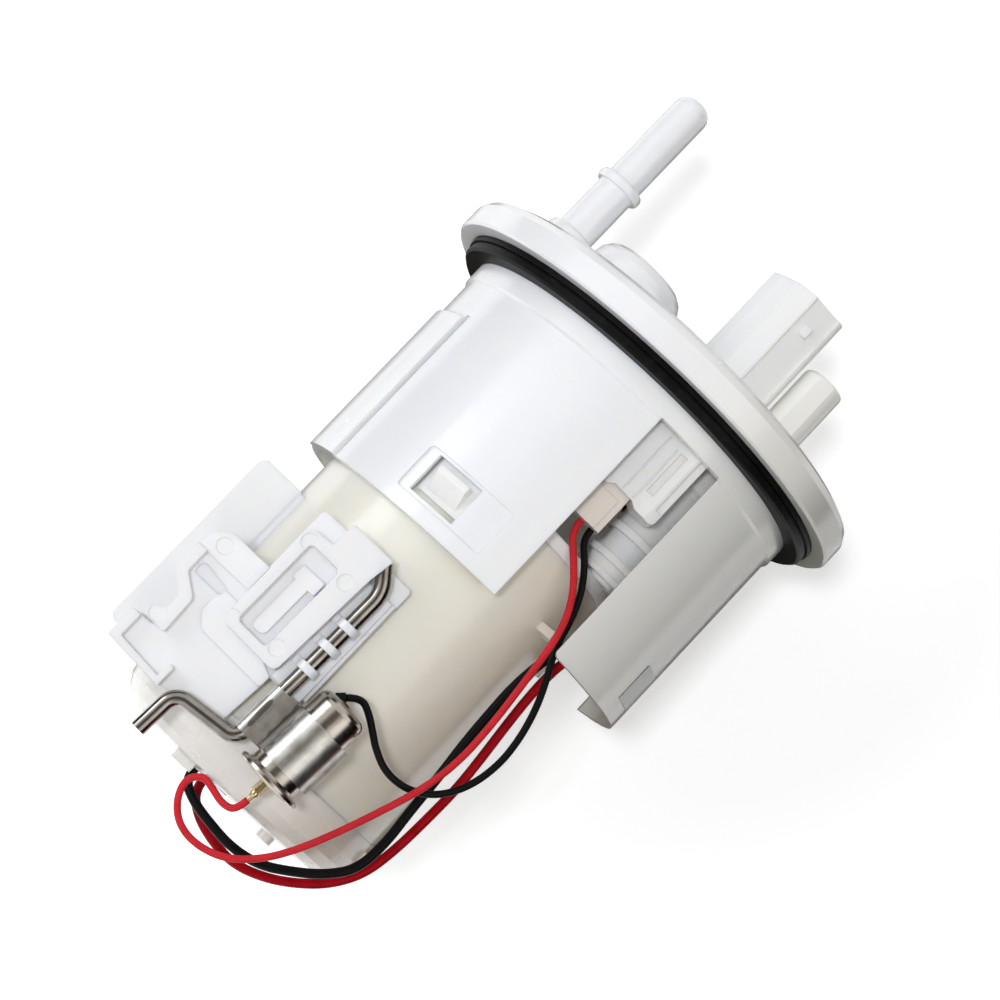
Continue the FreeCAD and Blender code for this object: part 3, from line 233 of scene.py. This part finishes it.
def metal(name, colour, shade, rough=0.2, along=(1, 1, 1), streak=0.25 * MM, rise=0.004 * MM,
          radius=0.12 * MM, shade_band=None):
    """Worked metal: fine streaks, patches of a second tone, soft corners. It may carry a ragged
    dark band of painted shade between two places along X."""
    made = Finish(name, Metallic=1.0)
    lines = made.noise(streak, 4, along)
    rounded = made.soft_edge(radius)
    tone = made.mix(made.noise(TARNISH, 4).between(0.38, 0.7), colour, shade)
    # Painted shade: a ragged dark band between two places along X
    if shade_band:
        low, high = shade_band
        ragged = made.axis(0) + (made.noise(TEARS, 3, (1, 1, 0.2)) - 0.5) * TORN
        inside = ragged.between(low - FADE, low) - ragged.between(high, high + FADE)
        tone = made.mix(inside * SHADE_BAND_SHARE, tone, SHADE_BAND_TONE)
    made.set(Base_Color=tone,
             Roughness=lines * 0.2 + (rough - 0.1) + made.noise(SPOTS, 3) * 0.06,
             Normal=made.bump(lines, rise, rounded))
    return made


def rubber(name, colour, rough=0.5, grain=0.01 * MM):
    """Dull rubber or carbon: small pits and paler clouds."""
    made = Finish(name, IOR=1.5, Specular_IOR_Level=0.12)
    pits = made.noise(0.3 * MM, 3)
    rounded = made.soft_edge(0.3 * MM)
    paler = tuple(channel * 1.9 + 0.002 for channel in colour)
    made.set(Base_Color=made.mix(made.noise(2 * MM, 4).between(0.45, 0.75), colour, paler),
             Roughness=pits * 0.2 + (rough - 0.1), Normal=made.bump(pits, grain, rounded))
    return made


# Pitch of the crossed threads, sizes of the specks and clouds, and how far the relief stands out
WEAVE_PITCH, SPECKS, LEAD_CLOUDS, THREAD_RISE = 0.62 * MM, 0.25 * MM, 3 * MM, 0.05 * MM


def insulation(name, colour, shade, rough, weave, specked):
    """Lead insulation on the tube's own UV (u round the lead, v along it, both in metres): a fine
    crossed weave, the product of two sines along u + v and u - v, and specks."""
    made = Finish(name, IOR=1.5, Specular_IOR_Level=0.1)
    uv = made.node("ShaderNodeTexCoord", out="UV")
    round_it, along_it = (made.node("ShaderNodeSeparateXYZ", {}, {0: uv}, axis) for axis in (0, 1))
    crossed = [made.maths("SINE", (round_it + along_it * way) * (2 * math.pi / WEAVE_PITCH))
               for way in (1, -1)]
    threads = (crossed[0] * crossed[1] * 0.5 + 0.5).between(0.45, 0.95)
    specks = made.noise(SPECKS, 2).between(0.62, 0.72)
    clouds = made.noise(LEAD_CLOUDS, 3).between(0.35, 0.7)
    paler = tuple(channel * 0.85 + 0.22 * weave * weave + 0.002 for channel in colour)
    tone = made.mix(clouds, colour, shade)
    made.set(Base_Color=made.mix(threads * weave + specks * specked, tone, paler),
             Roughness=clouds * 0.12 + rough,
             Normal=made.bump(threads * weave * 2 + specks * 0.4, THREAD_RISE))
    return made


# Mouldings
# Each moulding's third colour is the painted highlight on its thin edges
HEAD = plastic("white_moulding", (0.872, 0.88, 0.897), (0.862, 0.87, 0.888), (0.95, 0.955, 0.965),
               rough=0.26, shadow_side=(0.885, 0.875, 0.83))
BRACKET = plastic("bracket_moulding", (0.885, 0.89, 0.905), (0.87, 0.875, 0.892),
                  (0.97, 0.97, 0.975), rough=0.3, radius=0.3 * MM)
CREAM = plastic("cream_case", (0.875, 0.85, 0.765), (0.85, 0.82, 0.725), (0.92, 0.90, 0.85),
                rough=0.26, scatter=0.6, radius=0.35 * MM, reach=3.2 * MM,
                shadow_side=(0.80, 0.705, 0.58))
CAP = plastic("cream_cap", (0.845, 0.83, 0.79), (0.82, 0.80, 0.755), (0.90, 0.89, 0.86),
              rough=0.28, radius=0.35 * MM, shadow_side=(0.72, 0.63, 0.53))
SOCKET = plastic("warm_moulding", (0.865, 0.86, 0.845), (0.845, 0.838, 0.82), (0.94, 0.935, 0.92),
                 rough=0.28)
PLUG = plastic("beige_plug", (0.83, 0.765, 0.70), (0.80, 0.73, 0.66), (0.90, 0.85, 0.80),
               rough=0.22, scatter=0.6)
# Grey that stands in for the shade in the skirt's right window: painted shade
PAINTED_SHADE = plastic("painted_shade_grey", (0.50, 0.50, 0.49), (0.47, 0.47, 0.46), (0.55, 0.55, 0.54),
                scatter=0.2)
DARK = plastic("black_moulding", (0.03, 0.03, 0.032), (0.025, 0.025, 0.027), (0.06, 0.06, 0.06),
               rough=0.4, scatter=0.0)
PAPER = plastic("filter_paper", (0.72, 0.62, 0.38), (0.66, 0.55, 0.32), (0.8, 0.7, 0.46),
                rough=0.8, scatter=0.1, grain=0.05 * MM)

# Metals
STEEL = metal("polished_rod", (0.31, 0.29, 0.265), (0.23, 0.215, 0.195), 0.18, (1, 1, 0.06))
NICKEL = metal("nickel_can", (0.43, 0.395, 0.35), (0.33, 0.295, 0.25), 0.2, (0.05, 0.05, 1))
# Painted shade on the clamp sheet: a dark band at the can's left side, X -7.4 to -6.0 mm
TIN = metal("clamp_sheet", (0.56, 0.55, 0.52), (0.40, 0.38, 0.35), 0.3, (1, 1, 0.08),
            shade_band=(-7.4 * MM, -6.0 * MM))
BRASS = metal("brass_terminal", (0.66, 0.53, 0.31), (0.55, 0.43, 0.25), 0.24)
# Dark copy of sheet metal: painted shade for the pressing in the clamp's sleeve
PRESSING_SHADE = metal("pressing_painted_shade", (0.20, 0.19, 0.17), (0.13, 0.12, 0.11), 0.4, (1, 1, 0.08))
COPPER = metal("copper_windings", (0.72, 0.34, 0.18), (0.58, 0.25, 0.12), 0.3, (0.05, 0.05, 1))
IRON = metal("laminated_core", (0.36, 0.35, 0.34), (0.28, 0.27, 0.26), 0.38, (0.02, 0.02, 1),
             streak=0.5 * MM)
SHELL = metal("zinc_shell", (0.62, 0.63, 0.64), (0.52, 0.53, 0.54), 0.3, (1, 1, 0.05))

# Rubber, carbon and lead insulation
SEAL = rubber("black_rubber", (0.002, 0.002, 0.0022), 0.5)
CARBON = rubber("carbon", (0.02, 0.02, 0.021), 0.45)
FERRITE = rubber("ferrite", (0.045, 0.043, 0.042), 0.62)
THIN_RED = insulation("thin_red_insulation", (0.68, 0.009, 0.022), (0.56, 0.005, 0.015),
                      rough=0.34, weave=0.75, specked=0.2)
THICK_RED = insulation("thick_red_insulation", (0.36, 0.002, 0.008), (0.27, 0.001, 0.005),
                       rough=0.3, weave=0.05, specked=0.1)
BLACK = insulation("black_insulation", (0.003, 0.003, 0.0035), (0.005, 0.005, 0.0055),
                   rough=0.3, weave=0.03, specked=0.1)

DRESSED = {
    HEAD: ("head_moulding",),
    BRACKET: ("sensor_bracket", "side_panel"),
    CREAM: ("canister_case",),
    CAP: ("canister_cap", "riser_tube", "filter_upper_ring", "filter_lower_ring",
          "pump_outlet_cover", "pump_housing", "pump_inlet_cover", "impeller",
          "check_valve_poppet", "valve_seat"),
    SOCKET: ("sensor_socket", "canister_lid", "regulator_holder"),
    PLUG: ("sensor_plug", "power_plug"),
    DARK: ("head_plug", "inlet_screen"),
    SEAL: ("seal_ring", "rubber_cushion", "lead_grommet"),
    STEEL: ("sensor_rod", "armature_shaft"),
    NICKEL: ("sensor_can", "sensor_base"),
    TIN: ("sensor_clamp", "check_valve_spring", "regulator_spring", "contact_spring",
          "regulator_body", "regulator_valve"),
    BRASS: ("sensor_terminal", "upper_bearing", "lower_bearing", "connector_terminals"),
    COPPER: ("commutator", "armature_windings"),
    IRON: ("armature_core",),
    SHELL: ("pump_shell",),
    CARBON: ("brushes", "thermistor"),
    FERRITE: ("magnets",),
    PAPER: ("filter_element",),
}
for finish, names in DRESSED.items():
    for name in names:
        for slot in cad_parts[name].material_slots:
            slot.material = finish.material


# Surfaces
def surface(name, grid, finish, tube=False, uv=None):
    """A mesh over a grid of points, rows by columns. A tube joins its last column to the first,
    closes its first and last rows and may have a UV."""
    rows, columns = grid.shape[:2]
    row = np.arange(rows - 1)[:, None]
    column = np.arange(columns if tube else columns - 1)[None, :]
    next_column = (column + 1) % columns
    faces = np.stack([row * columns + column, row * columns + next_column,
                      (row + 1) * columns + next_column, (row + 1) * columns + column], -1)
    loops = faces.reshape(-1, 4).tolist()
    walls = len(loops)
    if tube:
        last_row = (rows - 1) * columns
        loops += [list(range(columns))[::-1], list(range(last_row, last_row + columns))]
    mesh = bpy.data.meshes.new(name)
    mesh.from_pydata(grid.reshape(-1, 3).tolist(), [], loops)
    mesh.polygons.foreach_set("use_smooth", np.ones(len(mesh.polygons), bool))
    if uv is not None:
        layer = mesh.uv_layers.new(name="along")
        corner = np.zeros(len(mesh.loops), np.int32)
        mesh.loops.foreach_get("vertex_index", corner)
        values = uv.reshape(-1, 2)[corner]
        # In the last column the next corners go on past the seam instead of back to 0
        wall_corners = values[:4 * walls].reshape(rows - 1, columns, 4, 2)
        wall_corners[:, -1, 1:3, 0] += uv[0, 1, 0] * columns
        layer.data.foreach_set("uv", values.ravel())
    mesh.materials.append(finish.material)
    mesh.update()
    piece = bpy.data.objects.new(name, mesh)
    bpy.context.scene.collection.objects.link(piece)
    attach(piece, "housing")
    return piece


def circle(radius, sides):
    """Points round a circle: radius times the cosine and sine of equal angles."""
    turn = np.arange(sides) * 2 * math.pi / sides
    return np.stack([np.cos(turn), np.sin(turn)], 1) * radius


def carried(line, outline):
    """An outline of (across, out) points carried along a line of points: each ring stands square
    to the line, with frames turned as little as possible from one point to the next."""
    ahead = np.gradient(line, axis=0)
    ahead /= np.linalg.norm(ahead, axis=1)[:, None]
    upright = abs(ahead[0][2]) >= 0.9
    side = np.cross(ahead[0], (1.0, 0.0, 0.0) if upright else (0.0, 0.0, 1.0))
    rings = []
    for point, way in zip(line, ahead):
        side = side - way * side.dot(way)
        side /= np.linalg.norm(side)
        rings.append(point + outline[:, :1] * side + outline[:, 1:] * np.cross(way, side))
    return np.array(rings)


# Leads: the corners of each route, in millimetres
SENSOR_RED = [
    (7.4, -31.6, -30.2), (7.4, -31.6, -32.8), (10.9, -32.0, -36.2), (15.2, -32.8, -40.8),
    (18.0, -33.4, -45.7), (19.4, -34.5, -51.8), (20.4, -36.0, -61.4), (21.2, -37.6, -70.6),
    (21.3, -39.4, -79.3), (19.8, -41.2, -87.5), (17.2, -42.2, -95.0), (14.0, -42.4, -103.5),
    (10.9, -42.2, -110.6), (7.4, -41.9, -116.4), (2.4, -41.4, -121.2), (-3.4, -40.8, -123.0),
    (-8.2, -40.0, -122.4), (-11.6, -39.4, -119.4), (-12.9, -39.4, -115.6), (-10.8, -40.4, -113.0),
    (-7.9, -41.6, -113.6), (-5.0, -42.8, -114.3), (-2.3, -44.9, -113.5), (-2.07, -45.0, -110.59)]
SENSOR_BLACK = [
    (10.0, -31.6, -30.2), (10.0, -31.6, -32.6), (13.4, -31.6, -35.6), (16.9, -31.4, -40.2),
    (19.0, -31.4, -45.6), (20.4, -31.6, -51.4), (23.6, -32.8, -57.6), (25.6, -33.8, -62.8),
    (26.9, -35.0, -68.6), (27.3, -36.0, -74.6), (26.0, -37.0, -81.2), (22.8, -38.0, -86.6),
    (18.0, -38.9, -89.6), (12.8, -40.4, -90.0), (8.6, -41.8, -88.2), (5.7, -42.5, -86.1),
    (3.2, -43.0, -84.4), (0.2, -42.8, -83.1), (-1.85, -42.8, -85.15)]
POWER_BLACK = [
    (-13.2, -23.0, -113.7), (-13.2, -23.0, -116.5), (-9.0, -24.6, -118.4), (-3.6, -26.2, -119.2),
    (2.0, -27.4, -119.6), (8.0, -28.2, -118.4), (13.4, -28.8, -115.0), (18.0, -28.8, -111.4),
    (21.8, -28.4, -106.6), (22.4, -27.8, -99.4), (21.6, -27.2, -91.4), (21.2, -27.0, -83.6),
    (20.4, -26.8, -76.0), (20.0, -26.8, -68.4), (19.8, -26.6, -61.0), (20.8, -25.8, -53.2),
    (23.0, -24.0, -46.4), (24.8, -21.6, -39.8), (24.9, -16.8, -32.4), (20.8, -12.9, -26.2),
    (16.0, -11.6, -22.6), (12.6, -11.2, -20.2), (12.6, -11.2, -16.0)]
POWER_RED = [
    (-10.6, -20.0, -113.7), (-10.6, -20.0, -116.9), (-6.6, -21.6, -119.9), (-1.8, -23.0, -121.3),
    (4.0, -24.0, -121.8), (10.0, -24.8, -119.8), (15.4, -25.0, -116.4), (20.2, -24.8, -112.0),
    (23.6, -24.6, -106.2), (24.8, -24.2, -98.8), (25.2, -24.0, -91.0), (25.4, -24.0, -83.0),
    (24.8, -24.0, -75.2), (24.0, -24.2, -67.8), (23.4, -24.6, -60.2), (23.4, -24.2, -52.6),
    (25.6, -22.0, -45.4), (27.4, -18.8, -38.4), (27.2, -13.6, -31.4), (22.4, -9.2, -25.6),
    (17.0, -8.0, -22.2), (13.0, -7.6, -19.8), (13.0, -7.6, -16.0)]
THIN, THICK = 1.4 * MM, 1.9 * MM
LEAD_SIDES = 20


def spline_line(points):
    """Points of the smooth NURBS line that has the route's points as its control points."""
    curve = bpy.data.curves.new("route", "CURVE")
    curve.dimensions, curve.resolution_u = "3D", 10
    spline = curve.splines.new("NURBS")
    spline.points.add(len(points) - 1)
    for point, where in zip(spline.points, points):
        point.co = (*(value * MM for value in where), 1)
    spline.order_u = 3
    spline.use_endpoint_u = True
    holder = bpy.data.objects.new("route", curve)
    bpy.context.scene.collection.objects.link(holder)
    line = bpy.data.meshes.new_from_object(holder)
    read = np.zeros(len(line.vertices) * 3)
    line.vertices.foreach_get("co", read)
    bpy.data.objects.remove(holder)
    return read.reshape(-1, 3)


def lead(name, node, points, diameter, finish):
    """A circle carried along the spline; its UV is metres round the lead and along it."""
    line = spline_line(points)
    steps = np.linalg.norm(np.diff(line, axis=0), axis=1)
    run = np.concatenate([[0.0], np.cumsum(steps)])
    grid = carried(line, circle(diameter / 2, LEAD_SIDES))
    arcs = np.arange(LEAD_SIDES) * math.pi * diameter / LEAD_SIDES
    round_it, along_it = np.meshgrid(arcs, run)
    piece = surface(name, grid, finish, tube=True, uv=np.stack([round_it, along_it], -1))
    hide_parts(node)


lead("thin_red_lead", "sensor_lead_red", SENSOR_RED, THIN, THIN_RED)
lead("thin_black_lead", "sensor_lead_black", SENSOR_BLACK, THIN, BLACK)
lead("thick_black_lead", "power_lead_black", POWER_BLACK, THICK, BLACK)
lead("thick_red_lead", "power_lead_red", POWER_RED, THICK, THICK_RED)

# Valve springs
SPRING_WIRE = 0.3  # radius of the wire, in millimetres like the springs' other sizes
STEPS_A_TURN, WIRE_SIDES = 24, 8


def coil(node, x, y, low, high, radius, turns):
    """Coil spring between two heights: a circle of the wire's radius carried along a helix."""
    turn = np.linspace(0, 2 * math.pi * turns, STEPS_A_TURN * turns + 1)
    climb = low + SPRING_WIRE + (high - low - 2 * SPRING_WIRE) * turn / turn[-1]
    line = np.stack([x + radius * np.cos(turn), y + radius * np.sin(turn), climb], 1) * MM
    wire = circle(SPRING_WIRE * MM, WIRE_SIDES)
    piece = surface(node + "_coil", carried(line, wire), TIN, tube=True)
    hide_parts(node)
    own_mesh(piece)


coil("check_valve_spring", -32.0, -10.0, low=-6.7, high=7.0, radius=2.1, turns=6)
coil("regulator_spring", 17.6, -20.4, low=-25.4, high=-13.1, radius=1.75, turns=8)


# Small pieces that the CAD leaves out
def on_cylinder(name, centre, radius, angle, height, finish):
    """Part of a cylinder along Z: the centre plus radius times the cosine and sine of the grid's
    angles, at the grid's heights, in millimetres."""
    x, y = centre[0] + radius * np.cos(angle), centre[1] + radius * np.sin(angle)
    surface(name, np.stack([x, y, height], -1) * MM, finish)


def plate(name, sides, heights, y):
    """Flat rectangle square to Y: even steps between its two sides and its two heights."""
    x, z = np.meshgrid(np.linspace(*sides, 3), np.linspace(*heights, 3))
    surface(name, np.stack([x, np.full_like(x, y), z], -1) * MM, BRACKET)


def window_painted_shade():
    """Painted shade: a grey sheet in the skirt's right window, 15.8 degrees of the skirt wide."""
    middle, half_span = 341, 7.9
    angle, height = np.meshgrid(np.radians(middle + np.linspace(-half_span, half_span, 25)),
                                np.linspace(-48.55, -39.95, 12))
    on_cylinder("window_painted_shade", (0, 0), 41.1, angle, height, PAINTED_SHADE)


def clamp_pressing():
    """Dark patch of painted shade for the pressing in the clamp's sleeve, whose width at the share
    t of its half height is its widest times the square root of 1 - t to the fourth power."""
    middle, half_height = -97.8, 3.4
    angle, height = np.meshgrid(np.radians(np.linspace(-112, -80, 9)),
                                np.linspace(middle - half_height, middle + half_height, 15))
    width = np.sqrt(np.clip(1 - ((height - middle) / half_height) ** 4, 0, 1))
    facing = math.radians(-96)
    angle = facing + (angle - facing) * width
    on_cylinder("clamp_pressing", (-11.05, -42.5), 2.03, angle, height, PRESSING_SHADE)


window_painted_shade()
plate("slot_back", sides=(-38.3, -31.1), heights=(-87.6, -84.4), y=-37.7)
plate("panel_joint", sides=(-35.2, -33.75), heights=(-84.0, -62.2), y=-17.3)
clamp_pressing()

# Studio
MIDDLE = Vector((0, -10, -35)) * MM
FLOOR_BEHIND, FLOOR_HALF, FLOOR_TONE = 51.5 * MM, 2.0, (0.8, 0.8, 0.8, 1)
# The floor's own glow near the object and away from it, and between which distances it rises
GLOW_NEAR, GLOW_AWAY, GLOW_FROM, GLOW_TO = 0.44, 1.0, 0.10, 0.19
WHITE, DAYLIGHT, DAYLIGHT_STRENGTH = (1, 1, 1, 1), (1.0, 0.985, 0.975, 1), 0.44


def sheet(name, corners, material):
    """Flat four-sided sheet of the stage."""
    mesh = bpy.data.meshes.new(name)
    mesh.from_pydata([tuple(corner) for corner in corners], [], [(0, 1, 2, 3)])
    mesh.materials.append(material)
    laid = bpy.data.objects.new(name, mesh)
    bpy.context.scene.collection.objects.link(laid)
    return laid


def backdrop():
    """Pale floor on which the object lies, square to the camera, clear from its back. Its white
    glow rises with the distance from the object, so that only the shadow close by shows."""
    material = bpy.data.materials.new("pale_floor")
    shading = Shading(material)
    shading.tree.nodes.clear()
    away = shading.node("ShaderNodeVectorMath", {"operation": "LENGTH"}, {0: shading.point()},
                        "Value")
    rising = away.between(GLOW_FROM, GLOW_TO) * (GLOW_AWAY - GLOW_NEAR) + GLOW_NEAR
    pale = shading.node("ShaderNodeBsdfDiffuse", {}, {"Color": FLOOR_TONE})
    glow = shading.node("ShaderNodeEmission", {}, {"Strength": shading.shown() * rising})
    front = shading.node("ShaderNodeAddShader", {}, {0: pale, 1: glow})
    clear = shading.node("ShaderNodeBsdfTransparent")
    behind = shading.node("ShaderNodeNewGeometry", out="Backfacing")
    both = shading.node("ShaderNodeMixShader", {}, {0: behind, 1: front, 2: clear})
    shading.node("ShaderNodeOutputMaterial", {}, {0: both})
    corners = [RIGHT * x * FLOOR_HALF + UP * y * FLOOR_HALF - BACK * FLOOR_BEHIND
               for x, y in ((-1, -1), (1, -1), (1, 1), (-1, 1))]
    sheet("pale_floor", corners, material)


def lamp(name, way, distance, size, power, colour, gloss=True):
    """Soft square lamp that looks at the object's middle; gloss says if reflections show it."""
    data = bpy.data.lights.new(name, "AREA")
    data.size, data.energy, data.color = size, power, colour
    hung = bpy.data.objects.new(name, data)
    hung.visible_glossy = gloss
    towards = (RIGHT * way[0] + UP * way[1] + BACK * way[2]).normalized()
    turned = towards.to_track_quat("Z", "Y").to_matrix().to_4x4()
    hung.matrix_world = Matrix.Translation(MIDDLE + towards * distance) @ turned
    bpy.context.scene.collection.objects.link(hung)


def card(name, corners, tone=(0, 0, 0), shades=False):
    """Dark card that gloss shows and that may also shade; its corners are (along, across, height)
    in the picture: along the object's axis, across it and towards the lens."""
    along = RIGHT * math.cos(ROLL) + UP * math.sin(ROLL)
    square_to_it = RIGHT * math.sin(ROLL) - UP * math.cos(ROLL)
    hung = sheet(name, [along * x + square_to_it * y + BACK * z for x, y, z in corners],
                 Finish(name, Base_Color=tone, Specular_IOR_Level=0).material)
    hung.visible_camera = hung.visible_transmission = False
    hung.visible_diffuse = hung.visible_shadow = shades


def standing(side, low, high, half=0.4):
    """Corners of a card that stands beside the object between two heights."""
    return [(-half, side, low), (half, side, low), (half, side, high), (-half, side, high)]


def lying(foot, head, half, height):
    """Corners of a card that lies at one height, from foot to head along the object."""
    return [(foot, -half, height), (head, -half, height), (head, half, height),
            (foot, half, height)]


backdrop()
card("right_card", standing(0.175, -0.04, 0.17), shades=True)
card("ceiling_card", lying(-0.8, 0.8, 0.8, 1.9), (0.32, 0.28, 0.24))
card("left_card", standing(-0.20, -0.04, 0.10))
# Painted shade in reflections: a dark card under the object, seen only in gloss, for the floor's
# shade beneath
card("under_card", lying(-0.13, 0.07, 0.07, -0.0513), (0.10, 0.085, 0.07))
lamp("key", (-0.10, 0.10, 1.0), distance=1.5, size=0.16, power=8.6, colour=(0.965, 0.98, 1.0),
     gloss=False)
lamp("left_fill", (-0.9, 0.8, 0.7), distance=0.9, size=0.4, power=1.8, colour=(0.94, 0.97, 1.0))
lamp("right_fill", (0.5, -0.3, 1.0), distance=0.9, size=0.7, power=1.2, colour=(1.0, 0.97, 0.92))

world = bpy.data.worlds.new("studio")
bpy.context.scene.world = world
sky = Shading(world)
sky.tree.nodes.clear()
white = sky.node("ShaderNodeBackground", {}, {"Color": WHITE, "Strength": 1.0})
dim = sky.node("ShaderNodeBackground", {}, {"Color": DAYLIGHT, "Strength": DAYLIGHT_STRENGTH})
light = sky.node("ShaderNodeMixShader", {}, {0: sky.shown(), 1: dim, 2: white})
sky.node("ShaderNodeOutputWorld", {}, {0: light})
